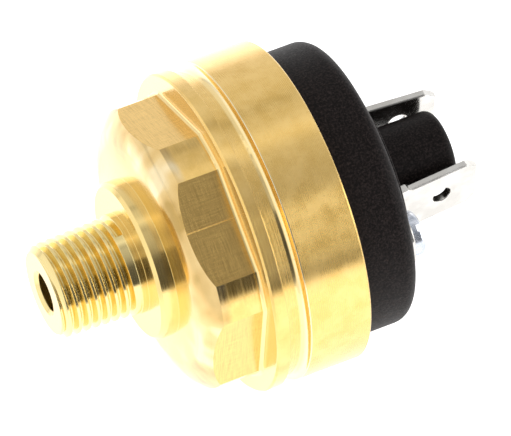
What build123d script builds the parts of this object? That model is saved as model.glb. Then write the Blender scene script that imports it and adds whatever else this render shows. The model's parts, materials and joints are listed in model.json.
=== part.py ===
from build123d import *
import math
import os

# Adjustable diaphragm pressure switch, lying on its side, in millimetres.
# The switch's axis is +X. The origin is the centre of the port mouth, at the tip of the inlet thread.
# The blade terminals stand at the +X end, one at -Y (near) and one at +Y (far). +Z is up.

# --- inlet thread, M10 x 1 conical ------------------------------------------------------------
TAPER = 1 / 16  # on the diameter
PITCH = 1.0
THREAD_DEPTH = 0.61
CREST_X, CREST_R = 0.9, 4.84  # crest radius at the first full crest
TIP_CHAMFER_X, TIP_R = 0.6, 4.25
TURNS_START, TURNS_END = -1, 8  # the cutter runs off the tip and stops before the shank
TURNS_PER_SWEEP = 4
GROOVE_ROOT_HALF, GROOVE_TOP_HALF, GROOVE_RISE = 0.06, 0.42, 0.1
SHANK_X, SHANK_R = 8.3, 5.15
SHOULDER_X = 9.0

# --- brass body ------------------------------------------------------------------------------
PORT_R, PORT_SINK_R, PORT_SINK = 2.0, 2.35, 0.35
SPIGOT_R, SPIGOT_X, SPIGOT_CHAMFER = 8.1, 10.8, 0.35
FACE_X, FACE_R = 11.12, 11.4  # outer edge of the shallow cone round the spigot
TURNED_R, TURNED_X, SHOULDER_ROUND = 14.5, 12.9, 4.8  # rounded shoulder, ending at a sharp edge
HEX_ACROSS_FLATS, HEX_X, HEX_TURN = 27.0, 17.4, 1.8  # the flats are turned against the blades
HEX_ROOT = 0.4  # fillet between the hexagon and the flange
FLANGE_R, FLANGE_X, FLANGE_EDGE = 16.5, 18.8, 0.2
CHAMBER_R, CHAMBER_X = 9.4, 17.0
LAND_R, LAND_X = 13.9, 20.4  # male end of the body, and the land that the diaphragm sits on
SEAL_R, SEAL_SECTION_R, SEAL_GROOVE_HALF = 11.2, 0.5, 0.6

# --- clamp ring ------------------------------------------------------------------------------
GROOVE_R, COVE_R, RING_FRONT_X = 15.7, 0.8, 21.0
RING_R, RING_X, RING_EDGE = 16.5, 27.5, 0.12
LIP_X, LIP_R = 26.3, 14.65  # the rolled lip that holds the head
FIT_GAP = 0.05

# --- diaphragm and guide plate ---------------------------------------------------------------
DIAPHRAGM_THICK = 0.3
FOLD_R, FOLD_HALF, FOLD_RISE = 8.1, 0.8, 0.6  # the convolution
GUIDE_R, GUIDE_X = 14.2, 23.2
RECESS_R, RECESS_DEPTH = 9.2, 1.5
GASKET_R, GASKET_THICK = 12.5, 0.3

# --- piston, plunger and bridge ---------------------------------------------------------------
PISTON_R, PISTON_THICK = 6.9, 1.0
SPIGOT_PIN_R, SPIGOT_PIN = 1.0, 0.6
STEM_R, STEM_GAP = 2.0, 0.05
COLLAR_R, COLLAR_THICK = 3.2, 1.2
BRIDGE_X, BRIDGE_THICK, BRIDGE_HALF, BRIDGE_WIDTH = 28.25, 0.3, 6.8, 3.0
PILOT_R, PILOT_END_X = 1.05, 29.6
TIP_CONTACT_R, TIP_CONTACT_Y = 0.75, 5.9
BRIDGE_TIP_THICK, FIXED_TIP_THICK, TIP_ROUND = 0.5, 0.6, 0.15

# --- switch head ------------------------------------------------------------------------------
HEAD_FLANGE_R, HEAD_R, HEAD_BACK_X, HEAD_ROUND = 15.3, 14.65, 33.7, 1.5
CUP_R, CUP_X = 12.4, 31.5
PLATEAU_R, PLATEAU_X, PLATEAU_ROUND = 9.7, 35.0, 0.2
BOSS_R, BOSS_X, BOSS_ROUND, BOSS_ROOT = 3.95, 43.1, 0.85, 0.4
SPRING_BORE_R, INSERT_SEAT_X = 2.75, 37.2

# --- terminals ---------------------------------------------------------------------------------
SCREW_Y = 8.2
TAB_THICK, TAB_WIDTH, ROOT_WIDTH, ROOT_HEIGHT = 0.8, 6.3, 6.9, 2.4
TAB_Y, TAB_LEAN, TAB_TIP_X = 5.3, 4.3, 44.5  # distance from the axis at the root, toe-in in degrees
TAB_CORNER, TAB_CORNER_WIDTH = 1.3, 1.0
TAB_HOLE_R, TAB_HOLE_X = 1.0, 40.5
TAB_BEVEL_DEPTH, TAB_EDGE = 0.22, 0.14
FOOT_END_R, FOOT_RECESS, POCKET_GAP = 2.7, 0.8, 0.1  # the foot lies in a pocket of the plateau
BEND_OUT_R, BEND_IN_R = 1.0, 0.2
SCREW_HEAD_R, SCREW_HEAD_THICK, SCREW_HEAD_ROUND = 2.3, 1.5, 0.55
SCREW_R, SCREW_END_X = 1.23, 30.0
SLOT_WIDTH, SLOT_DEPTH, SCREW_SLOT_TURN = 0.7, 0.7, 25
FOOT_HOLE_R, WALL_HOLE_R, BAR_HOLE_R = 1.35, 1.3, 1.25
BAR_THICK, BAR_IN_Y, BAR_OUT_Y, BAR_WIDTH = 1.4, 4.9, 10.7, 5.0

# --- range spring and adjuster -----------------------------------------------------------------
SEAT_R, SEAT_THICK, SEAT_PILOT_R, SEAT_PILOT = 2.45, 0.8, 1.65, 0.85
SEAT_HOLE_R, SEAT_HOLE_END_X = 1.1, 29.75
WIRE_R, COIL_R, COILS = 0.25, 2.05, 7
UPPER_SEAT_X, UPPER_SEAT_R, UPPER_SEAT_THICK, UPPER_PILOT = 36.7, 2.4, 0.6, 0.8
ADJUSTER_R, ADJUSTER_LENGTH, ADJUSTER_CHAMFER = 2.46, 4.0, 0.3
ADJUSTER_SLOT_WIDTH, ADJUSTER_SLOT_DEPTH, ADJUSTER_SLOT_TURN = 0.8, 1.2, -35
INSERT_IN_R, INSERT_OUT_R, INSERT_X, INSERT_END_X = 2.5, 3.05, 37.4, 42.4
INSERT_CHAMFER = 0.25

# --- places that follow from the above ----------------------------------------------------------
DIAPHRAGM_X = LAND_X + DIAPHRAGM_THICK
PISTON_X = DIAPHRAGM_X + PISTON_THICK
HEAD_X = GUIDE_X + GASKET_THICK
BRIDGE_TOP_X = BRIDGE_X + BRIDGE_THICK
BAR_X = CUP_X - BAR_THICK
FOOT_X = PLATEAU_X - FOOT_RECESS
FOOT_TOP_X = FOOT_X + TAB_THICK
SPRING_X = BRIDGE_TOP_X + SEAT_THICK
SPRING_END_X = UPPER_SEAT_X
ADJUSTER_X = UPPER_SEAT_X + UPPER_SEAT_THICK

os.makedirs("parts", exist_ok=True)


def save(piece, name):
    """Label a finished piece and write it as one STEP file."""
    piece.label = name
    export_step(piece, f"parts/{name}.step")
    print(name, round(piece.volume, 2))


def crest_r(x):
    """Crest radius of the conical thread at x."""
    return CREST_R + (x - CREST_X) * TAPER / 2


# === pressure_body: thread, spigot, hexagon, flange, and the land behind the flange =============
with BuildPart() as pressure_body:
    with BuildSketch(Plane.XY):
        with BuildLine():
            Polyline(
                (CHAMBER_X, 0),
                (0, 0),
                (0, TIP_R),
                (TIP_CHAMFER_X, crest_r(TIP_CHAMFER_X)),
                (SHANK_X, crest_r(SHANK_X)),
                (SHANK_X, SHANK_R),
                (SHOULDER_X, SHANK_R),
                (SHOULDER_X, SPIGOT_R - SPIGOT_CHAMFER),
                (SHOULDER_X + SPIGOT_CHAMFER, SPIGOT_R),
                (SPIGOT_X, SPIGOT_R),
                (FACE_X, FACE_R),
            )
            RadiusArc((FACE_X, FACE_R), (TURNED_X, TURNED_R), SHOULDER_ROUND)
            Polyline(
                (TURNED_X, TURNED_R),
                (HEX_X, TURNED_R),
                (HEX_X, FLANGE_R - FLANGE_EDGE),
                (HEX_X + FLANGE_EDGE, FLANGE_R),
                (FLANGE_X, FLANGE_R),
                (FLANGE_X, LAND_R),
                (LAND_X, LAND_R),
                (LAND_X, SEAL_R + SEAL_GROOVE_HALF),
                (LAND_X - 2 * SEAL_SECTION_R, SEAL_R + SEAL_GROOVE_HALF),
                (LAND_X - 2 * SEAL_SECTION_R, SEAL_R - SEAL_GROOVE_HALF),
                (LAND_X, SEAL_R - SEAL_GROOVE_HALF),
                (LAND_X, CHAMBER_R),
                (CHAMBER_X, CHAMBER_R),
                (CHAMBER_X, 0),
            )
        make_face()
    revolve(axis=Axis.X)
    # the six flats, cut back to the flange
    with BuildSketch(Plane.YZ.offset(SHOULDER_X)):
        Circle(2 * TURNED_R)
        RegularPolygon(
            HEX_ACROSS_FLATS / 2, 6, major_radius=False, rotation=30 + HEX_TURN, mode=Mode.SUBTRACT
        )
    extrude(amount=HEX_X - SHOULDER_X, mode=Mode.SUBTRACT)
    hex_root = pressure_body.edges().filter_by_position(Axis.X, HEX_X - FIT_GAP, HEX_X + FIT_GAP)
    fillet(hex_root.sort_by(SortBy.LENGTH)[:-1], HEX_ROOT)
    # the port and its countersink
    with BuildSketch(Plane.XY):
        with BuildLine():
            Polyline(
                (0, 0),
                (0, PORT_SINK_R),
                (PORT_SINK, PORT_R),
                (CHAMBER_X, PORT_R),
                (CHAMBER_X, 0),
                close=True,
            )
        make_face()
    revolve(axis=Axis.X, mode=Mode.SUBTRACT)
    # the helical thread groove, cut in runs of whole turns that join end to end
    for start in range(TURNS_START, TURNS_END, TURNS_PER_SWEEP):
        turns = min(TURNS_PER_SWEEP, TURNS_END - start)
        groove_path = Helix(
            pitch=PITCH,
            height=turns * PITCH,
            radius=crest_r(start),
            center=(start, 0, 0),
            direction=(1, 0, 0),
            cone_angle=math.degrees(math.atan(TAPER / 2)),
        )
        with BuildSketch(Plane(origin=groove_path @ 0, x_dir=(1, 0, 0), z_dir=(0, -1, 0))):
            Polygon(
                (-GROOVE_TOP_HALF, GROOVE_RISE),
                (-GROOVE_ROOT_HALF, -THREAD_DEPTH),
                (GROOVE_ROOT_HALF, -THREAD_DEPTH),
                (GROOVE_TOP_HALF, GROOVE_RISE),
                align=None,
            )
        sweep(path=groove_path, is_frenet=True, mode=Mode.SUBTRACT)
save(pressure_body.part, "pressure_body")

# === clamp_ring: screwed on the body, with a groove in front and a lip rolled over the head ======
with BuildPart() as clamp_ring:
    with BuildSketch(Plane.XY):
        with BuildLine():
            Polyline(
                (FLANGE_X, LAND_R),
                (FLANGE_X, GROOVE_R),
                (RING_FRONT_X - COVE_R, GROOVE_R),
            )
            RadiusArc((RING_FRONT_X - COVE_R, GROOVE_R), (RING_FRONT_X, RING_R), -COVE_R)
            Polyline(
                (RING_FRONT_X, RING_R),
                (RING_X - RING_EDGE, RING_R),
                (RING_X, RING_R - RING_EDGE),
                (RING_X, LIP_R),
                (LIP_X, LIP_R),
                (LIP_X, HEAD_FLANGE_R),
                (HEAD_X, HEAD_FLANGE_R),
                (HEAD_X, GUIDE_R),
                (LAND_X, GUIDE_R),
                (LAND_X, LAND_R),
                (FLANGE_X, LAND_R),
            )
        make_face()
    revolve(axis=Axis.X)
save(clamp_ring.part, "clamp_ring")

# === diaphragm_seal: O-ring in the body's land ====================================================
with BuildPart() as diaphragm_seal:
    with BuildSketch(Plane.XY):
        with Locations((LAND_X - SEAL_SECTION_R, SEAL_R)):
            Circle(SEAL_SECTION_R)
    revolve(axis=Axis.X)
save(diaphragm_seal.part, "diaphragm_seal")

# === diaphragm: thin disc with one convolution ====================================================
with BuildPart() as diaphragm:
    with BuildSketch(Plane.XY):
        with BuildLine():
            outer_half = FOLD_HALF + DIAPHRAGM_THICK
            Line((LAND_X, 0), (LAND_X, FOLD_R - FOLD_HALF))
            ThreePointArc(
                (LAND_X, FOLD_R - FOLD_HALF),
                (LAND_X + FOLD_RISE, FOLD_R),
                (LAND_X, FOLD_R + FOLD_HALF),
            )
            Polyline(
                (LAND_X, FOLD_R + FOLD_HALF),
                (LAND_X, LAND_R),
                (DIAPHRAGM_X, LAND_R),
                (DIAPHRAGM_X, FOLD_R + outer_half),
            )
            ThreePointArc(
                (DIAPHRAGM_X, FOLD_R + outer_half),
                (DIAPHRAGM_X + FOLD_RISE, FOLD_R),
                (DIAPHRAGM_X, FOLD_R - outer_half),
            )
            Polyline((DIAPHRAGM_X, FOLD_R - outer_half), (DIAPHRAGM_X, 0), (LAND_X, 0))
        make_face()
    revolve(axis=Axis.X)
save(diaphragm.part, "diaphragm")

# === guide_plate: backs the diaphragm, stops the piston and guides the plunger ====================
with BuildPart() as guide_plate:
    with BuildSketch(Plane.YZ.offset(DIAPHRAGM_X)):
        Circle(GUIDE_R - FIT_GAP)
    extrude(amount=GUIDE_X - DIAPHRAGM_X)
    with BuildSketch(Plane.YZ.offset(DIAPHRAGM_X)):
        Circle(RECESS_R)
    extrude(amount=RECESS_DEPTH, mode=Mode.SUBTRACT)
    with BuildSketch(Plane.YZ.offset(DIAPHRAGM_X)):
        Circle(STEM_R + STEM_GAP)
    extrude(amount=GUIDE_X - DIAPHRAGM_X, mode=Mode.SUBTRACT)
save(guide_plate.part, "guide_plate")

# === piston: pressure plate on the diaphragm ======================================================
with BuildPart() as piston:
    with BuildSketch(Plane.YZ.offset(DIAPHRAGM_X)):
        Circle(PISTON_R)
    extrude(amount=PISTON_THICK)
    fillet(piston.edges().group_by(Axis.X)[0], SPIGOT_PIN / 2)
    with BuildSketch(Plane.YZ.offset(PISTON_X)):
        Circle(SPIGOT_PIN_R)
    extrude(amount=-SPIGOT_PIN, mode=Mode.SUBTRACT)
save(piston.part, "piston")

# === plunger: insulating pin that carries the bridge ==============================================
with BuildPart() as plunger:
    with BuildSketch(Plane.XY):
        with BuildLine():
            Polyline(
                (PISTON_X - SPIGOT_PIN, 0),
                (PISTON_X - SPIGOT_PIN, SPIGOT_PIN_R),
                (PISTON_X, SPIGOT_PIN_R),
                (PISTON_X, STEM_R),
                (BRIDGE_X - COLLAR_THICK, STEM_R),
                (BRIDGE_X - COLLAR_THICK, COLLAR_R),
                (BRIDGE_X, COLLAR_R),
                (BRIDGE_X, PILOT_R),
                (PILOT_END_X, PILOT_R),
                (PILOT_END_X, 0),
                close=True,
            )
        make_face()
    revolve(axis=Axis.X)
save(plunger.part, "plunger")

# === contact_bridge: strip with rounded ends and a hole for the plunger's pilot ===================
with BuildPart() as contact_bridge:
    with BuildSketch(Plane.YZ.offset(BRIDGE_X)):
        SlotOverall(2 * BRIDGE_HALF, BRIDGE_WIDTH)
        Circle(COLLAR_R)
        Circle(PILOT_R, mode=Mode.SUBTRACT)
    extrude(amount=BRIDGE_THICK)
save(contact_bridge.part, "contact_bridge")

# === terminals, their screws, contact bars and contact tips, near (-Y) and far (+Y) ===============
lean = math.radians(TAB_LEAN)
blade_start = -TAB_THICK
blade_length = (TAB_TIP_X - FOOT_X) / math.cos(lean)
hole_along = (TAB_HOLE_X - FOOT_X) / math.cos(lean)
heel_y = TAB_Y + FOOT_RECESS * math.tan(lean)
foot_end_y = SCREW_Y + FOOT_END_R

for side, name in ((-1, "near"), (1, "far")):
    # terminal_tab: leaning blade, wider root, and a rounded foot bent outwards under the screw
    blade_plane = Plane(
        origin=(FOOT_X, side * heel_y, 0),
        x_dir=(math.cos(lean), -side * math.sin(lean), 0),
        z_dir=(-side * math.sin(lean), -math.cos(lean), 0),
    )
    with BuildPart() as terminal_tab:
        with BuildSketch(blade_plane):
            half, root = TAB_WIDTH / 2, ROOT_WIDTH / 2
            Polygon(
                (blade_start, -root),
                (ROOT_HEIGHT, -root),
                (ROOT_HEIGHT + root - half, -half),
                (blade_length - TAB_CORNER, -half),
                (blade_length, -half + TAB_CORNER_WIDTH),
                (blade_length, half - TAB_CORNER_WIDTH),
                (blade_length - TAB_CORNER, half),
                (ROOT_HEIGHT + root - half, half),
                (ROOT_HEIGHT, root),
                (blade_start, root),
                align=None,
            )
            with Locations((hole_along, 0)):
                Circle(TAB_HOLE_R, mode=Mode.SUBTRACT)
        extrude(amount=TAB_THICK / 2, both=True)
        split(bisect_by=Plane.YZ.offset(FOOT_X), keep=Keep.TOP)
        # broken edges along the blade, and a thin lead-in on both faces of the tip
        long_edges = terminal_tab.edges().filter_by(lambda edge: edge.length > TAB_WIDTH / 2)
        long_edges = long_edges.filter_by(lambda edge: abs(abs(edge.center().Z) - TAB_WIDTH / 2) < FIT_GAP)
        chamfer(long_edges, length=TAB_EDGE)
        tip_face = terminal_tab.faces().sort_by(Axis.X)[-1]
        tip_edges = tip_face.edges().filter_by(Axis.Z)
        chamfer(tip_edges, length=TAB_BEVEL_DEPTH)
        with BuildSketch(Plane.YZ.offset(FOOT_X)) as foot:
            with Locations((side * (heel_y + foot_end_y) / 2, 0)):
                Rectangle(foot_end_y - heel_y, ROOT_WIDTH)
            outer_corners = foot.vertices().sort_by(Axis.X, reverse=side > 0)[:2]
            fillet(outer_corners, FOOT_END_R)
        extrude(amount=TAB_THICK)
        # the bend, rounded outside and inside
        z_edges = terminal_tab.edges().filter_by(Axis.Z)
        heel = z_edges.filter_by_position(Axis.X, FOOT_X - FIT_GAP, FOOT_X + FIT_GAP)
        heel = heel.sort_by(Axis.Y)[-1 if side < 0 else 0]
        fillet(heel, BEND_OUT_R)
        throat = terminal_tab.edges().filter_by(Axis.Z)
        throat = throat.filter_by_position(Axis.X, FOOT_TOP_X - FIT_GAP, FOOT_TOP_X + FIT_GAP)
        fillet(throat.sort_by(Axis.Y)[-1 if side < 0 else 0], BEND_IN_R)
        with BuildSketch(Plane.YZ.offset(FOOT_X)):
            with Locations((side * SCREW_Y, 0)):
                Circle(FOOT_HOLE_R)
        extrude(amount=TAB_THICK, mode=Mode.SUBTRACT)
    save(terminal_tab.part, f"terminal_tab_{name}")

    # terminal_screw: slotted pan-head screw through the foot into the contact bar
    with BuildPart() as terminal_screw:
        with BuildSketch(Plane.YZ.offset(FOOT_TOP_X)):
            with Locations((side * SCREW_Y, 0)):
                Circle(SCREW_HEAD_R)
        extrude(amount=SCREW_HEAD_THICK)
        fillet(terminal_screw.edges().group_by(Axis.X)[-1], SCREW_HEAD_ROUND)
        with BuildSketch(Plane.YZ.offset(FOOT_TOP_X + SCREW_HEAD_THICK)):
            with Locations((side * SCREW_Y, 0)):
                Rectangle(SLOT_WIDTH, 2 * SCREW_HEAD_R, rotation=SCREW_SLOT_TURN)
        extrude(amount=-SLOT_DEPTH, mode=Mode.SUBTRACT)
        with BuildSketch(Plane.YZ.offset(SCREW_END_X)):
            with Locations((side * SCREW_Y, 0)):
                Circle(SCREW_R)
        extrude(amount=FOOT_TOP_X - SCREW_END_X)
    save(terminal_screw.part, f"terminal_screw_{name}")

    # fixed_contact: threaded bar inside the cup, clamped by the screw
    with BuildPart() as fixed_contact:
        with BuildSketch(Plane.YZ.offset(BAR_X)):
            with Locations((side * (BAR_IN_Y + BAR_OUT_Y) / 2, 0)):
                RectangleRounded(BAR_OUT_Y - BAR_IN_Y, BAR_WIDTH, BEND_OUT_R)
            with Locations((side * SCREW_Y, 0)):
                Circle(BAR_HOLE_R, mode=Mode.SUBTRACT)
        extrude(amount=BAR_THICK)
    save(fixed_contact.part, f"fixed_contact_{name}")

    # the pair of contact tips that meet when the bridge lifts
    with BuildPart() as fixed_tip:
        with BuildSketch(Plane.YZ.offset(BAR_X)):
            with Locations((side * TIP_CONTACT_Y, 0)):
                Circle(TIP_CONTACT_R)
        extrude(amount=-FIXED_TIP_THICK)
        fillet(fixed_tip.edges().group_by(Axis.X)[0], TIP_ROUND)
    save(fixed_tip.part, f"fixed_tip_{name}")

    with BuildPart() as bridge_tip:
        with BuildSketch(Plane.YZ.offset(BRIDGE_TOP_X)):
            with Locations((side * TIP_CONTACT_Y, 0)):
                Circle(TIP_CONTACT_R)
        extrude(amount=BRIDGE_TIP_THICK)
        fillet(bridge_tip.edges().group_by(Axis.X)[-1], TIP_ROUND)
    save(bridge_tip.part, f"bridge_tip_{name}")

# === cover: moulded switch head with cup, plateau and boss ========================================
with BuildPart() as cover:
    with BuildSketch(Plane.XY):
        with BuildLine():
            Polyline(
                (HEAD_X, CUP_R),
                (HEAD_X, HEAD_FLANGE_R - FIT_GAP),
                (LIP_X, HEAD_FLANGE_R - FIT_GAP),
                (LIP_X, HEAD_R),
                (HEAD_BACK_X - HEAD_ROUND, HEAD_R),
            )
            RadiusArc(
                (HEAD_BACK_X - HEAD_ROUND, HEAD_R), (HEAD_BACK_X, HEAD_R - HEAD_ROUND), HEAD_ROUND
            )
            Polyline(
                (HEAD_BACK_X, HEAD_R - HEAD_ROUND),
                (HEAD_BACK_X, PLATEAU_R),
                (PLATEAU_X - PLATEAU_ROUND, PLATEAU_R),
            )
            RadiusArc(
                (PLATEAU_X - PLATEAU_ROUND, PLATEAU_R), (PLATEAU_X, PLATEAU_R - PLATEAU_ROUND), PLATEAU_ROUND
            )
            Line((PLATEAU_X, PLATEAU_R - PLATEAU_ROUND), (PLATEAU_X, BOSS_R + BOSS_ROOT))
            RadiusArc((PLATEAU_X, BOSS_R + BOSS_ROOT), (PLATEAU_X + BOSS_ROOT, BOSS_R), -BOSS_ROOT)
            Line((PLATEAU_X + BOSS_ROOT, BOSS_R), (BOSS_X - BOSS_ROUND, BOSS_R))
            RadiusArc((BOSS_X - BOSS_ROUND, BOSS_R), (BOSS_X, BOSS_R - BOSS_ROUND), BOSS_ROUND)
            Polyline(
                (BOSS_X, BOSS_R - BOSS_ROUND),
                (BOSS_X, 0),
                (CUP_X, 0),
                (CUP_X, CUP_R),
                (HEAD_X, CUP_R),
            )
        make_face()
    revolve(axis=Axis.X)
    with BuildSketch(Plane.YZ.offset(CUP_X)):
        Circle(SPRING_BORE_R)
    extrude(amount=BOSS_X - CUP_X, mode=Mode.SUBTRACT)
    with BuildSketch(Plane.YZ.offset(INSERT_SEAT_X)):
        Circle(INSERT_OUT_R)
    extrude(amount=BOSS_X - INSERT_SEAT_X, mode=Mode.SUBTRACT)
    with BuildSketch(Plane.YZ.offset(CUP_X)):
        with Locations((-SCREW_Y, 0), (SCREW_Y, 0)):
            Circle(WALL_HOLE_R)
    extrude(amount=PLATEAU_X - CUP_X, mode=Mode.SUBTRACT)
    # pockets for the terminals' feet, open at the plateau's edge
    pocket_in_y = TAB_Y - TAB_THICK / 2 - POCKET_GAP
    pocket_out_y = PLATEAU_R + POCKET_GAP
    pocket_y = (pocket_in_y + pocket_out_y) / 2
    with BuildSketch(Plane.YZ.offset(FOOT_X)):
        with Locations((-pocket_y, 0), (pocket_y, 0)):
            Rectangle(pocket_out_y - pocket_in_y, ROOT_WIDTH + 2 * POCKET_GAP)
    extrude(amount=FOOT_RECESS, mode=Mode.SUBTRACT)
save(cover.part, "cover")

# === head_gasket: flat ring between guide plate and head ==========================================
with BuildPart() as head_gasket:
    with BuildSketch(Plane.YZ.offset(GUIDE_X)):
        Circle(GUIDE_R - FIT_GAP)
        Circle(GASKET_R, mode=Mode.SUBTRACT)
    extrude(amount=GASKET_THICK)
save(head_gasket.part, "head_gasket")

# === lower_spring_seat: cup on the plunger's pilot ================================================
with BuildPart() as lower_spring_seat:
    with BuildSketch(Plane.XY):
        with BuildLine():
            Polyline(
                (BRIDGE_TOP_X, SEAT_HOLE_R),
                (BRIDGE_TOP_X, SEAT_R),
                (SPRING_X, SEAT_R),
                (SPRING_X, SEAT_PILOT_R),
                (SPRING_X + SEAT_PILOT, SEAT_PILOT_R),
                (SPRING_X + SEAT_PILOT, 0),
                (SEAT_HOLE_END_X, 0),
                (SEAT_HOLE_END_X, SEAT_HOLE_R),
                close=True,
            )
        make_face()
    revolve(axis=Axis.X)
save(lower_spring_seat.part, "lower_spring_seat")

# === upper_spring_seat: disc between the spring and the adjusting screw ===========================
with BuildPart() as upper_spring_seat:
    with BuildSketch(Plane.YZ.offset(UPPER_SEAT_X)):
        Circle(UPPER_SEAT_R)
    extrude(amount=UPPER_SEAT_THICK)
    with BuildSketch(Plane.YZ.offset(UPPER_SEAT_X)):
        Circle(SEAT_PILOT_R)
    extrude(amount=-UPPER_PILOT)
save(upper_spring_seat.part, "upper_spring_seat")

# === range_spring: round-wire compression spring between the two seats ============================
with BuildPart() as range_spring:
    spring_free = SPRING_END_X - SPRING_X - 2 * WIRE_R
    coil_path = Helix(
        pitch=spring_free / COILS,
        height=spring_free,
        radius=COIL_R,
        center=(SPRING_X + WIRE_R, 0, 0),
        direction=(1, 0, 0),
    )
    with BuildSketch(Plane(origin=coil_path @ 0, z_dir=coil_path % 0)):
        Circle(WIRE_R)
    sweep(path=coil_path, is_frenet=True)
save(range_spring.part, "range_spring")

# === adjuster_insert: threaded bush in the boss ===================================================
with BuildPart() as adjuster_insert:
    with BuildSketch(Plane.YZ.offset(INSERT_X)):
        Circle(INSERT_OUT_R)
        Circle(INSERT_IN_R, mode=Mode.SUBTRACT)
    extrude(amount=INSERT_END_X - INSERT_X)
    chamfer(adjuster_insert.edges().group_by(Axis.X)[-1].sort_by(SortBy.RADIUS)[0], INSERT_CHAMFER)
save(adjuster_insert.part, "adjuster_insert")

# === adjusting_screw: slotted grub screw ==========================================================
with BuildPart() as adjusting_screw:
    with BuildSketch(Plane.YZ.offset(ADJUSTER_X)):
        Circle(ADJUSTER_R)
    extrude(amount=ADJUSTER_LENGTH)
    chamfer(adjusting_screw.edges().filter_by(GeomType.CIRCLE), ADJUSTER_CHAMFER)
    with BuildSketch(Plane.YZ.offset(ADJUSTER_X + ADJUSTER_LENGTH)):
        Rectangle(ADJUSTER_SLOT_WIDTH, 2 * ADJUSTER_R, rotation=ADJUSTER_SLOT_TURN)
    extrude(amount=-ADJUSTER_SLOT_DEPTH, mode=Mode.SUBTRACT)
save(adjusting_screw.part, "adjusting_screw")
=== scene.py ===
import json
import math

import bpy
from mathutils import Matrix, Vector


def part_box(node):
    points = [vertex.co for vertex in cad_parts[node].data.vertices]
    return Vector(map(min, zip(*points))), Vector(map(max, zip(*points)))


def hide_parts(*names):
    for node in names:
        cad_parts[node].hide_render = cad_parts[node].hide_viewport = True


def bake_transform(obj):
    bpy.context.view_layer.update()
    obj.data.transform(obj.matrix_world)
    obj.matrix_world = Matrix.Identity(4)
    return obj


# Pressure switch lying on its flange and clamp ring. The axis is +X, from the inlet thread to the
# blade terminals. Everything is in metres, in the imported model's frame.

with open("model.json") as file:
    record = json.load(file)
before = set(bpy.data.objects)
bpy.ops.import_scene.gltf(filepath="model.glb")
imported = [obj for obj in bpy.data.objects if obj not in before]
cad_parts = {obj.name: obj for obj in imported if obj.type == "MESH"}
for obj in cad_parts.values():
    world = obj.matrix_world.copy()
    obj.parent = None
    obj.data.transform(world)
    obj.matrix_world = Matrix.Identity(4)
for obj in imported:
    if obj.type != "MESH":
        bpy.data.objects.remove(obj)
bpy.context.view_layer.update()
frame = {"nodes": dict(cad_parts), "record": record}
nodes = frame["nodes"]

MM = 0.001
FLOOR_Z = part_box("pressure_body")[0][2]

# --- camera --------------------------------------------------------------------------------------
AZIMUTH, ELEVATION, ROLL = math.radians(-27.34), math.radians(54.6), math.radians(2.58)
DISTANCE = 0.880
LENS, SENSOR = 633.3, 36.0
CLIP_NEAR, CLIP_FAR = 0.01, 10.0
AIM = Vector((0.020, 0.0, 0.0))
AIM_RIGHT, AIM_UP = 2.53 * MM, 0.66 * MM


def add_camera():
    """The photograph's view: along the switch from the thread's side, from well above."""
    back = Vector((
        math.sin(AZIMUTH) * math.cos(ELEVATION),
        -math.cos(AZIMUTH) * math.cos(ELEVATION),
        math.sin(ELEVATION),
    ))
    level_right = Vector((0, 0, 1)).cross(back).normalized()
    level_up = back.cross(level_right)
    right = level_right * math.cos(ROLL) + level_up * math.sin(ROLL)
    up = level_up * math.cos(ROLL) - level_right * math.sin(ROLL)
    turn = Matrix((right, up, back)).transposed().to_4x4()
    data = bpy.data.cameras.new("camera")
    data.lens = LENS
    data.sensor_width = SENSOR
    data.clip_start, data.clip_end = CLIP_NEAR, CLIP_FAR
    camera = bpy.data.objects.new("camera", data)
    position = AIM + right * AIM_RIGHT + up * AIM_UP + back * DISTANCE
    camera.matrix_world = Matrix.Translation(position) @ turn
    bpy.context.scene.collection.objects.link(camera)
    bpy.context.scene.camera = camera


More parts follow.
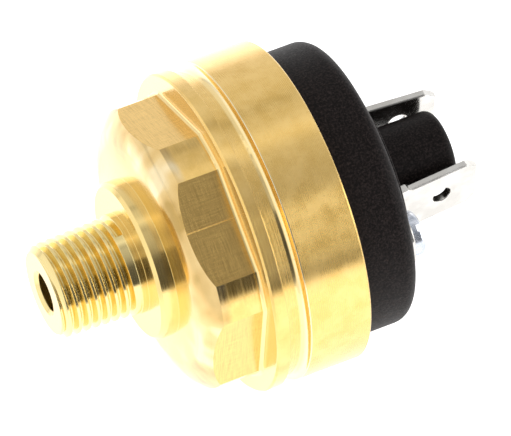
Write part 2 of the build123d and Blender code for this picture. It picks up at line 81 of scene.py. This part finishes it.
# --- node helpers --------------------------------------------------------------------------------
class Nodes:
    """A short way to write a shader's nodes."""

    def __init__(self, tree):
        self.tree = tree

    def new(self, kind, **settings):
        node = self.tree.nodes.new(kind)
        for name, value in settings.items():
            setattr(node, name, value)
        return node

    def link(self, source, target):
        self.tree.links.new(source, target)

    def put(self, value, socket):
        """Plug an output into a socket, or set the socket's own value."""
        if isinstance(value, bpy.types.NodeSocket):
            self.link(value, socket)
        else:
            socket.default_value = value

    def math(self, operation, *values):
        node = self.new("ShaderNodeMath", operation=operation)
        for value, socket in zip(values, node.inputs):
            self.put(value, socket)
        return node.outputs[0]

    def product(self, first, second):
        return self.math("MULTIPLY", first, second)

    def vector(self, operation, *values):
        node = self.new("ShaderNodeVectorMath", operation=operation)
        for value, socket in zip(values, node.inputs):
            self.put(value, socket)
        return node.outputs["Value" if operation in ("LENGTH", "DOT_PRODUCT") else "Vector"]

    def combine(self, x=0.0, y=0.0, z=0.0):
        node = self.new("ShaderNodeCombineXYZ")
        for value, socket in zip((x, y, z), node.inputs):
            self.put(value, socket)
        return node.outputs[0]

    def separate(self, vector):
        node = self.new("ShaderNodeSeparateXYZ")
        self.link(vector, node.inputs[0])
        return node.outputs

    def place(self):
        """The shaded point's place in the frame."""
        return self.new("ShaderNodeTexCoord").outputs["Object"]

    def noise(self, vector, scale, detail=2.0, roughness=0.5):
        node = self.new("ShaderNodeTexNoise")
        self.link(vector, node.inputs["Vector"])
        node.inputs["Scale"].default_value = scale
        node.inputs["Detail"].default_value = detail
        node.inputs["Roughness"].default_value = roughness
        return node.outputs["Fac"]

    def ramp(self, factor, stops):
        """Colours along a factor; each stop is (position, (red, green, blue))."""
        node = self.new("ShaderNodeValToRGB")
        elements = node.color_ramp.elements
        while len(elements) < len(stops):
            elements.new(0.5)
        for element, (position, colour) in zip(elements, stops):
            element.position = position
            element.color = (*colour, 1.0)
        self.link(factor, node.inputs[0])
        return node.outputs["Color"]

    def remap(self, value, low, high, to_low=0.0, to_high=1.0):
        node = self.new("ShaderNodeMapRange")
        self.put(value, node.inputs["Value"])
        names = ("From Min", "From Max", "To Min", "To Max")
        for name, number in zip(names, (low, high, to_low, to_high)):
            node.inputs[name].default_value = number
        return node.outputs["Result"]

    def rise(self, value, span):
        """0 below the span and 1 above it."""
        return self.remap(value, *span)

    def fall(self, value, span):
        """1 below the span and 0 above it."""
        return self.remap(value, *span, to_low=1.0, to_high=0.0)

    def mix(self, factor, a, b):
        node = self.new("ShaderNodeMix", data_type="RGBA")
        self.put(factor, node.inputs["Factor"])
        self.put(a, node.inputs["A"])
        self.put(b, node.inputs["B"])
        return node.outputs["Result"]

    def rounded_edges(self, radius):
        """The surface's normal, with its edges rounded."""
        node = self.new("ShaderNodeBevel", samples=6)
        node.inputs["Radius"].default_value = radius
        return node.outputs[0]

    def bump(self, height, strength, distance, normal=None):
        node = self.new("ShaderNodeBump")
        node.inputs["Strength"].default_value = strength
        node.inputs["Distance"].default_value = distance
        self.put(height, node.inputs["Height"])
        if normal is not None:
            self.link(normal, node.inputs["Normal"])
        return node.outputs["Normal"]


def material(name, **settings):
    """A new Principled material: its node helper and its shader."""
    made = bpy.data.materials.new(name)
    made.use_nodes = True
    made.node_tree.nodes.clear()
    n = Nodes(made.node_tree)
    shader = n.new("ShaderNodeBsdfPrincipled")
    output = n.new("ShaderNodeOutputMaterial")
    n.link(shader.outputs["BSDF"], output.inputs["Surface"])
    for socket, value in settings.items():
        shader.inputs[socket.replace("_", " ").title().replace("Ior", "IOR")].default_value = value
    return made, n, shader


def grey(level):
    """An opaque grey, as a socket's value."""
    return (level, level, level, 1.0)


# the span of a noise that holds most of its values, and the span that holds nearly all
MOST, NEARLY_ALL = (0.35, 0.65), (0.3, 0.7)

# --- brass ---------------------------------------------------------------------------------------
BRASS_LIGHT, BRASS_DARK = (0.93, 0.64, 0.225, 1.0), (0.82, 0.535, 0.155, 1.0)
# dark brass: the painted shade in the low parts of the tool marks, and the clamp ring's darker specks
BRASS_GROOVE = (0.60, 0.36, 0.09, 1.0)
BRASS_THREAD, BRASS_SPIGOT = (0.90, 0.73, 0.33, 1.0), (0.92, 0.69, 0.27, 1.0)
# BRASS_NECK, the neck's pale brass, also paints the highlight at the hexagon root
BRASS_NECK, BRASS_FLAT = (0.95, 0.72, 0.32, 1.0), (0.87, 0.575, 0.18, 1.0)
BRASS_COVE = (0.93, 0.82, 0.52, 1.0)
# painted reflections on the round shoulder: dark to pale brass in random patches, standing in for the
# dark and bright things it mirrors
SHOULDER_REFLECTION_TONES = (
    (0.34, (0.46, 0.29, 0.08)), (0.43, (0.68, 0.46, 0.18)),
    (0.54, (0.78, 0.57, 0.26)), (0.64, (0.92, 0.78, 0.50)),
)

# where one finish of the clamp ring fades into the next, as two places along the axis
COVE_START, COVE_END = (20.15 * MM, 20.35 * MM), (21.06 * MM, 21.14 * MM)
COVE_PALE = (20.55 * MM, 20.85 * MM)

# the same for the body
THREAD_END, SPIGOT_END = (8.2 * MM, 8.8 * MM), (10.9 * MM, 12.8 * MM)
SHOULDER_START, SHOULDER_END = (10.9 * MM, 11.2 * MM), (13.4 * MM, 13.9 * MM)
# where the flats end, and the width of the pale strip there, which is a painted highlight
HEX_ROOT_X, HEX_ROOT_WIDTH = 17.02 * MM, 0.4 * MM
FLANGE_START = (HEX_ROOT_X + 0.3 * MM, HEX_ROOT_X + HEX_ROOT_WIDTH)

# the milled flats: how far they lie from the axis, and the near one's angle from straight up
HEX_SIDES, HEX_FLAT_DISTANCE, FLAT_TOLERANCE = 6, 13.5 * MM, 0.012 * MM
NEAR_FLAT_TURN = math.radians(30 + 1.8)
# the witness line, a little above the middle of the near flat, and its edge in radians
WITNESS_TURN = NEAR_FLAT_TURN - 0.4 * MM / HEX_FLAT_DISTANCE
WITNESS_EDGE = (0.003, 0.006)


def turned_coordinates(n):
    """(x, distance from the axis, 0): every texture drawn in it runs round the axis."""
    x, y, z = n.separate(n.place())
    return n.combine(x, n.vector("LENGTH", n.combine(0.0, y, z)), 0.0)


def brass_base(name):
    """A brass shader, and a slight cloud for its colour."""
    made, n, shader = material(name, metallic=1.0, coat_weight=0.35, coat_roughness=0.15)
    cloud = n.noise(n.place(), scale=420.0, detail=4.0, roughness=0.6)
    return made, n, shader, n.rise(cloud, MOST)


def spread_highlights(n, shader, amount):
    """Spread the highlights along the axis, as turning marks do."""
    tangent = n.new("ShaderNodeTangent", direction_type="RADIAL", axis="X")
    n.link(tangent.outputs[0], shader.inputs["Tangent"])
    n.link(amount, shader.inputs["Anisotropic"])
    shader.inputs["Anisotropic Rotation"].default_value = 0.25


def make_ring_brass():
    """The clamp ring: fine-turned, with a smoother and paler cove."""
    made, n, shader, cloud = brass_base("turned_brass_ring")
    x, y, z = n.separate(n.place())
    fine = n.noise(turned_coordinates(n), scale=12000.0)
    speck = n.noise(n.place(), scale=2600.0, detail=3.0, roughness=0.7)
    outside = n.math("MAXIMUM", n.fall(x, COVE_START), n.rise(x, COVE_END))

    cove = n.mix(n.rise(x, COVE_PALE), BRASS_NECK, BRASS_COVE)
    tone = n.mix(outside, cove, n.mix(cloud, BRASS_DARK, BRASS_LIGHT))
    # darker specks scattered over the ring
    dark_specks = n.product(n.rise(speck, (0.60, 0.78)), 0.35)
    n.link(n.mix(dark_specks, tone, BRASS_GROOVE), shader.inputs["Base Color"])

    rough = n.remap(fine, *NEARLY_ALL, to_low=0.21, to_high=0.30)
    rough = n.math("ADD", rough, n.product(cloud, 0.05))
    n.link(n.mix(outside, grey(0.13), rough), shader.inputs["Roughness"])
    spread_highlights(n, shader, n.product(outside, 0.85))
    height = n.math("ADD", fine, n.product(speck, 0.6))
    edges = n.rounded_edges(radius=0.14 * MM)
    n.link(n.bump(height, strength=0.12, distance=0.004 * MM, normal=edges), shader.inputs["Normal"])
    return made


def hex_flats(n, x):
    """1 on the milled flats: there, a point's largest reach along a flat's normal is the flat's own."""
    reach = None
    for side in range(HEX_SIDES):
        angle = NEAR_FLAT_TURN + 2 * math.pi * side / HEX_SIDES
        along = n.vector("DOT_PRODUCT", n.place(), (0.0, -math.sin(angle), math.cos(angle)))
        reach = along if reach is None else n.math("MAXIMUM", reach, along)
    gap = n.math("ABSOLUTE", n.math("SUBTRACT", reach, HEX_FLAT_DISTANCE))
    return n.product(n.math("LESS_THAN", gap, FLAT_TOLERANCE), n.math("LESS_THAN", x, HEX_ROOT_X))


def milling_marks(n, x, turn):
    """Grooves across the axis, crossed by weaker ones along it; turn is the angle round the axis."""
    short_arc, true_arc = n.product(turn, 0.6 * MM), n.product(turn, HEX_FLAT_DISTANCE)
    across = n.noise(n.combine(x, short_arc), scale=9000.0, roughness=0.6)
    along = n.noise(n.combine(n.product(x, 0.06), true_arc), scale=6500.0, roughness=0.6)
    return n.math("ADD", n.product(across, 0.6), n.product(along, 0.4))


def body_tone(n, x, cloud, flat):
    """The body's colour: pale on the thread and spigot, a painted highlight as a pale strip at the
    hexagon root, and painted reflections in patches on the round shoulder.
    """
    tone = n.mix(cloud, BRASS_DARK, BRASS_LIGHT)
    tone = n.mix(n.rise(x, SPIGOT_END), BRASS_SPIGOT, tone)
    shoulder = n.product(n.rise(x, SHOULDER_START), n.fall(x, SHOULDER_END))
    # painted reflection: random dark and pale patches over the shoulder
    painted_reflection_patches = n.ramp(n.noise(n.place(), scale=210.0), SHOULDER_REFLECTION_TONES)
    tone = n.mix(n.product(shoulder, 0.85), tone, painted_reflection_patches)
    # a pale strip at the hexagon root: a painted highlight, the bright line where the flats meet the
    # flange
    root = n.math("GREATER_THAN", x, HEX_ROOT_X)
    root = n.product(root, n.math("LESS_THAN", x, HEX_ROOT_X + HEX_ROOT_WIDTH))
    tone = n.mix(root, tone, BRASS_NECK)
    tone = n.mix(flat, tone, BRASS_FLAT)
    return n.mix(n.rise(x, THREAD_END), BRASS_THREAD, tone)


def make_body_brass():
    """The body: bright turned surfaces, and milled flats with a cross-hatch and one witness line."""
    made, n, shader, cloud = brass_base("turned_brass")
    x, y, z = n.separate(n.place())
    turn = n.math("ARCTAN2", n.product(y, -1.0), z)
    flat, flange = hex_flats(n, x), n.rise(x, FLANGE_START)
    marks = n.noise(turned_coordinates(n), scale=5200.0, detail=3.0, roughness=0.7)
    hatch = milling_marks(n, x, turn)
    height = n.mix(flat, marks, hatch)

    # painted shade: the low parts of the turning and milling marks are darkened, more strongly on the
    # flats
    groove_shade_strength = n.math("ADD", 0.12, n.product(flat, 0.38))
    groove_shade = n.product(n.fall(height, (0.35, 0.55)), groove_shade_strength)
    n.link(n.mix(groove_shade, body_tone(n, x, cloud, flat), BRASS_GROOVE), shader.inputs["Base Color"])

    # the witness line is rough, and the flange is turned as coarsely as the clamp ring
    witness = n.math("ABSOLUTE", n.math("SUBTRACT", turn, WITNESS_TURN))
    witness = n.product(n.fall(witness, WITNESS_EDGE), flat)
    rough_turned = n.remap(marks, *MOST, to_low=0.10, to_high=0.22)
    rough_flat = n.remap(hatch, 0.4, 0.6, to_low=0.14, to_high=0.24)
    rough_flange = n.remap(marks, *MOST, to_low=0.17, to_high=0.27)
    rough = n.math("ADD", n.mix(flat, rough_turned, rough_flat), n.product(witness, 0.45))
    n.link(n.mix(flange, rough, rough_flange), shader.inputs["Roughness"])
    spread_highlights(n, shader, n.product(flange, 0.8))
    edges = n.rounded_edges(radius=0.09 * MM)
    n.link(n.bump(height, strength=0.25, distance=0.006 * MM, normal=edges), shader.inputs["Normal"])
    return made


# --- the other materials -------------------------------------------------------------------------
def make_black_moulding():
    """Glass-filled black plastic with a fine grain."""
    made, n, shader = material("black_moulding", specular_ior_level=0.10)
    grain = n.noise(n.place(), scale=4200.0, detail=3.0, roughness=0.65)
    specks = n.noise(n.place(), scale=4600.0, detail=4.0, roughness=0.75)
    dark, light = (0.0040, 0.0028, 0.0026, 1), (0.0290, 0.0210, 0.0200, 1)
    n.link(n.mix(n.rise(specks, (0.45, 0.66)), dark, light), shader.inputs["Base Color"])
    n.link(n.remap(grain, *NEARLY_ALL, to_low=0.42, to_high=0.60), shader.inputs["Roughness"])
    edges = n.rounded_edges(radius=0.15 * MM)
    n.link(n.bump(grain, strength=0.75, distance=0.03 * MM, normal=edges), shader.inputs["Normal"])
    return made


def make_tin():
    """Bright tin plate with faint rolling streaks."""
    made, n, shader = material("tinned_blade", metallic=1.0)
    x, y, z = n.separate(n.place())
    streaks = n.noise(n.combine(n.product(x, 0.05), y, z), scale=7000.0)
    cloud = n.noise(n.place(), scale=500.0, detail=3.0)
    dark, light = (0.62, 0.60, 0.565, 1), (0.73, 0.715, 0.685, 1)
    n.link(n.mix(n.rise(cloud, MOST), dark, light), shader.inputs["Base Color"])
    n.link(n.remap(streaks, *NEARLY_ALL, to_low=0.13, to_high=0.22), shader.inputs["Roughness"])
    edges = n.rounded_edges(radius=0.2 * MM)
    n.link(n.bump(streaks, strength=0.12, distance=0.003 * MM, normal=edges), shader.inputs["Normal"])
    return made


def make_zinc(name, dark, light):
    """Zinc plate: cool grey with a slight cloud."""
    made, n, shader = material(name, metallic=1.0)
    cloud = n.noise(n.place(), scale=900.0, detail=3.0)
    fine = n.noise(n.place(), scale=9000.0)
    n.link(n.mix(n.rise(cloud, MOST), dark, light), shader.inputs["Base Color"])
    n.link(n.remap(fine, *NEARLY_ALL, to_low=0.18, to_high=0.30), shader.inputs["Roughness"])
    n.link(n.bump(fine, strength=0.15, distance=0.004 * MM), shader.inputs["Normal"])
    return made


def make_plain(name, dark, light, metallic, rough, grain_scale):
    """A plain finish with a fine grain, for the parts inside."""
    made, n, shader = material(name, metallic=metallic)
    grain = n.noise(n.place(), grain_scale, detail=3.0)
    n.link(n.mix(n.rise(grain, MOST), dark, light), shader.inputs["Base Color"])
    n.link(n.remap(grain, *NEARLY_ALL, *rough), shader.inputs["Roughness"])
    n.link(n.bump(grain, strength=0.2, distance=0.006 * MM), shader.inputs["Normal"])
    return made


MATERIALS = {
    "turned_brass": make_body_brass(),
    "black_moulding": make_black_moulding(),
    "tinned_blade": make_tin(),
    "zinc_steel": make_zinc("zinc_steel", (0.52, 0.56, 0.64, 1), (0.70, 0.73, 0.80, 1)),
    "inner_steel": make_zinc("inner_steel", (0.45, 0.45, 0.46, 1), (0.62, 0.62, 0.63, 1)),
    "piston_aluminium": make_plain(
        "piston_aluminium", (0.70, 0.71, 0.72, 1), (0.82, 0.83, 0.84, 1),
        metallic=1.0, rough=(0.25, 0.40), grain_scale=5000.0),
    "elastomer": make_plain(
        "elastomer", (0.015, 0.015, 0.015, 1), (0.03, 0.03, 0.03, 1),
        metallic=0.0, rough=(0.50, 0.70), grain_scale=4000.0),
    "insulating_plastic": make_plain(
        "insulating_plastic", (0.72, 0.68, 0.58, 1), (0.80, 0.76, 0.66, 1),
        metallic=0.0, rough=(0.35, 0.50), grain_scale=3000.0),
    "contact_brass": make_plain(
        "contact_brass", (0.72, 0.50, 0.19, 1), (0.85, 0.60, 0.25, 1),
        metallic=1.0, rough=(0.22, 0.38), grain_scale=4000.0),
    "contact_silver": make_plain(
        "contact_silver", (0.82, 0.81, 0.79, 1), (0.92, 0.91, 0.89, 1),
        metallic=1.0, rough=(0.12, 0.25), grain_scale=5000.0),
    "adjuster_brass": make_plain(
        "adjuster_brass", (0.70, 0.48, 0.18, 1), (0.83, 0.58, 0.23, 1),
        metallic=1.0, rough=(0.22, 0.36), grain_scale=6000.0),
}
NODE_MATERIALS = {"clamp_ring": make_ring_brass()}


def dress_nodes():
    """Give every CAD node its finished material."""
    for part in frame["record"]["subparts"]:
        node = nodes[part["node"]]
        made = NODE_MATERIALS.get(part["node"], MATERIALS[part["material_slot"]])
        for index in range(len(node.material_slots)):
            node.material_slots[index].material = made


# --- range spring --------------------------------------------------------------------------------
WIRE_R, COIL_R, COILS = 0.25 * MM, 2.05 * MM, 7
CLOSED_TURNS, OPENING_TURNS = 0.55, 0.5  # at each end: coils that touch, then coils that open
MEAN_RISE = 1.1 * MM  # of the wire in one turn
SPLIT_TURN = 2.2
STEPS_PER_TURN, WIRE_SIDES = 40, 14
SPRING_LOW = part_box("range_spring")[0][0]
SPRING_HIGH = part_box("range_spring")[1][0]


def spring_centres():
    """The wire's centre line as (turns, x): closed coils at both ends, evenly open ones between."""
    openness = []
    for step in range(COILS * STEPS_PER_TURN):
        turn = (step + 0.5) / STEPS_PER_TURN
        opening = (min(turn, COILS - turn) - CLOSED_TURNS) / OPENING_TURNS
        opening = min(max(opening, 0.0), 1.0)
        openness.append(opening * opening * (3 - 2 * opening))
    # the ends are ground, so the wire's centre comes within half its radius of them
    low, high = SPRING_LOW + WIRE_R / 2, SPRING_HIGH - WIRE_R / 2
    closed_rise = 2 * WIRE_R
    open_rise = (high - low - closed_rise * COILS) * STEPS_PER_TURN / sum(openness)
    centres, x = [(0.0, low)], low
    for step, opening in enumerate(openness):
        x += (closed_rise + open_rise * opening) / STEPS_PER_TURN
        centres.append(((step + 1) / STEPS_PER_TURN, x))
    return centres


def add_spring_part(name, centres):
    """A length of round wire swept along the coil, with its outer ends ground flat."""
    vertices, faces = [], []
    for turn, x in centres:
        angle = 2 * math.pi * turn
        outward = Vector((0, -math.sin(angle), math.cos(angle)))
        round_axis = Vector((0, -math.cos(angle), -math.sin(angle)))
        onward = Vector((MEAN_RISE, 0, 0)) + round_axis * 2 * math.pi * COIL_R
        sideways = onward.normalized().cross(outward)
        for side in range(WIRE_SIDES):
            around = 2 * math.pi * side / WIRE_SIDES
            point = Vector((x, 0, 0)) + outward * COIL_R
            point += (outward * math.cos(around) + sideways * math.sin(around)) * WIRE_R
            point.x = min(max(point.x, SPRING_LOW), SPRING_HIGH)
            vertices.append(point)
    for ring in range(len(centres) - 1):
        for side in range(WIRE_SIDES):
            beside = (side + 1) % WIRE_SIDES
            first, second = ring * WIRE_SIDES, (ring + 1) * WIRE_SIDES
            faces.append((first + side, first + beside, second + beside, second + side))
    last = (len(centres) - 1) * WIRE_SIDES
    faces.append(tuple(reversed(range(WIRE_SIDES))))
    faces.append(tuple(last + side for side in range(WIRE_SIDES)))
    mesh = bpy.data.meshes.new(name)
    mesh.from_pydata(vertices, [], faces)
    mesh.update()
    for polygon in mesh.polygons:
        polygon.use_smooth = len(polygon.vertices) == 4
    mesh.materials.append(MATERIALS["inner_steel"])
    piece = bpy.data.objects.new(name, mesh)
    bpy.context.scene.collection.objects.link(piece)
    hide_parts("range_spring")
    return piece


def add_spring():
    """The spring in two lengths: the short one at the plunger, the long one at the adjuster."""
    centres = spring_centres()
    split = int(SPLIT_TURN * STEPS_PER_TURN)
    lower = add_spring_part("range_spring_lower", centres[:split + 1])
    upper = add_spring_part("range_spring_upper", centres[split:])
    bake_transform(lower)
    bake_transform(upper)


# --- floor and light -----------------------------------------------------------------------------
FLOOR_HALF = 1.5
FLOOR_LIGHT, FLOOR_GLOW = 0.9, 0.85
FRONT_FADE, FRONT_LEVEL = (-50 * MM, -10 * MM), 0.68  # in front of the thread
BACK_FADE, BACK_LEVEL = (130 * MM, 260 * MM), 0.65  # far behind the switch


def add_floor():
    """A plain white table, whose light falls off slowly in front of the switch and far behind it."""
    mesh = bpy.data.meshes.new("floor")
    corners = ((-1, -1), (1, -1), (1, 1), (-1, 1))
    mesh.from_pydata([(x * FLOOR_HALF, y * FLOOR_HALF, FLOOR_Z) for x, y in corners], [], [(0, 1, 2, 3)])
    floor = bpy.data.objects.new("floor", mesh)
    bpy.context.scene.collection.objects.link(floor)
    made, n, shader = material("floor", roughness=0.9, emission_color=grey(1.0))
    x, y, z = n.separate(n.place())
    glow = n.remap(x, *FRONT_FADE, to_low=FRONT_LEVEL, to_high=1.0)
    glow = n.product(glow, n.remap(y, *BACK_FADE, to_low=1.0, to_high=BACK_LEVEL))
    n.link(n.product(glow, FLOOR_GLOW), shader.inputs["Emission Strength"])
    n.link(n.mix(glow, grey(0.0), grey(FLOOR_LIGHT)), shader.inputs["Base Color"])
    mesh.materials.append(made)


# brightness of the surroundings against the angle from straight up, in degrees, towards -Y
STUDIO_AHEAD = ((-180, 1.05), (-90, 1.10), (-60, 1.10), (20, 1.15), (90, 1.20), (180, 1.05))
STUDIO_FRONT = (
    (-180, 1.05), (-92, 1.05), (-88, 0.90), (-60, 0.90), (-44, 0.82), (-26, 0.80), (-20, 0.98),
    (-15, 1.25), (-10, 0.98), (-4, 0.85), (6, 0.60), (14, 0.50), (22, 0.58), (32, 0.62), (36, 0.16),
    (60, 0.07), (82, 0.12), (87, 0.3), (90, 1.05), (180, 1.05),
)
STUDIO_MIDDLE = (
    (-180, 1.05), (-92, 1.05), (-88, 0.84), (-60, 0.80), (-46, 0.76), (-41, 0.50), (-38, 0.56),
    (-34, 0.74), (-24, 0.78), (-15, 1.05), (-8, 0.70), (-3, 0.50), (2, 0.62), (14, 0.58), (22, 0.50),
    (30, 0.38), (44, 0.14), (84, 0.09), (87.5, 0.08), (89, 1.05), (180, 1.05),
)
STUDIO_REAR = (
    (-180, 1.05), (-92, 1.05), (-88, 0.92), (-44, 0.82), (-26, 0.80), (-15, 1.25), (-4, 0.85),
    (14, 0.60), (30, 0.70), (36, 3.4), (78, 3.4), (86, 0.8), (90, 1.05), (180, 1.05),
)
# where each passes into the next, as two values of the direction's x
AHEAD_TO_FRONT, FRONT_TO_MIDDLE, MIDDLE_TO_REAR = (-0.62, -0.42), (0.05, 0.16), (0.40, 0.50)


def add_world():
    """Studio surroundings by direction: a bright strip overhead, and a dark gap low down towards -Y."""
    world = bpy.data.worlds.new("studio")
    bpy.context.scene.world = world
    world.use_nodes = True
    world.node_tree.nodes.clear()
    n = Nodes(world.node_tree)
    background = n.new("ShaderNodeBackground")
    output = n.new("ShaderNodeOutputWorld")
    n.link(background.outputs[0], output.inputs["Surface"])
    x, y, z = n.separate(n.new("ShaderNodeTexCoord").outputs["Generated"])
    angle = n.math("ARCTAN2", n.product(y, -1.0), z)
    factor = n.remap(angle, -math.pi, math.pi)
    ahead, front, middle, rear = (
        n.ramp(factor, [((degrees + 180) / 360, (level, level, level)) for degrees, level in stops])
        for stops in (STUDIO_AHEAD, STUDIO_FRONT, STUDIO_MIDDLE, STUDIO_REAR)
    )
    colour = n.mix(n.rise(x, AHEAD_TO_FRONT), ahead, front)
    colour = n.mix(n.rise(x, FRONT_TO_MIDDLE), colour, middle)
    n.link(n.mix(n.rise(x, MIDDLE_TO_REAR), colour, rear), background.inputs["Color"])


add_camera()
dress_nodes()
add_spring()
add_floor()
add_world()

view = bpy.context.scene.view_settings
view.view_transform = "Standard"
view.look = "None"
